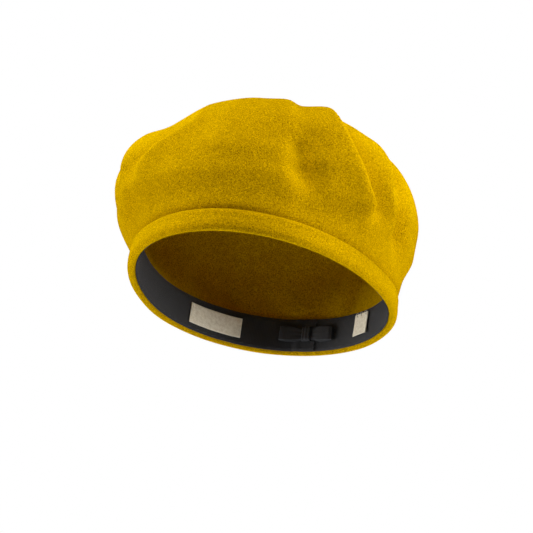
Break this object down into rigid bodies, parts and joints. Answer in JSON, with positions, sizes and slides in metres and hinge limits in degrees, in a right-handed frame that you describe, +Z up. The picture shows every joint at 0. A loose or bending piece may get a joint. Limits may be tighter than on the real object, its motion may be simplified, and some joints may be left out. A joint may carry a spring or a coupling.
{
  "type": "beret",
  "caption": "Round soft felt hat with a full crown over a narrow turned-in band, a head ribbon, a small flat bow, a blank label and a flip-up size tab.",
  "frame": {"origin": "centre of the head opening, in the plane of the rim's lower edge", "axes": "+Z up through the crown, -Y towards the wearer's front, +X towards the wearer's left"},
  "size_m": [0.2092, 0.2197, 0.1279],
  "materials": {
    "felt": "matte wool felt, mustard yellow",
    "felt_thread": "matt sewing thread, mustard yellow",
    "ribbon": "ribbed grosgrain, black, slight sheen",
    "ribbon_thread": "sewing thread, black",
    "label": "woven tape, ivory, blank",
    "label_thread": "sewing thread, ivory"
  },
  "bodies": {
    "beret": {"felt_crown": "felt", "hem_thread": "felt_thread", "head_ribbon": "ribbon", "ribbon_thread": "ribbon_thread", "seam_thread": "ribbon_thread", "bow_loops": "ribbon", "bow_knot": "ribbon", "bow_thread": "ribbon_thread", "maker_label": "label", "label_thread": "label_thread", "tab_thread": "label_thread"},
    "size_tab": {"size_tab": "label"}
  },
  "joints": [
    {"name": "tab_flip", "type": "hinge", "parent": "beret", "child": "size_tab", "pos_m": [0.04448, 0.08322, 0.024], "axis": [-0.8291, 0.5592, 0], "range_deg": [0, 160]}
  ]
}
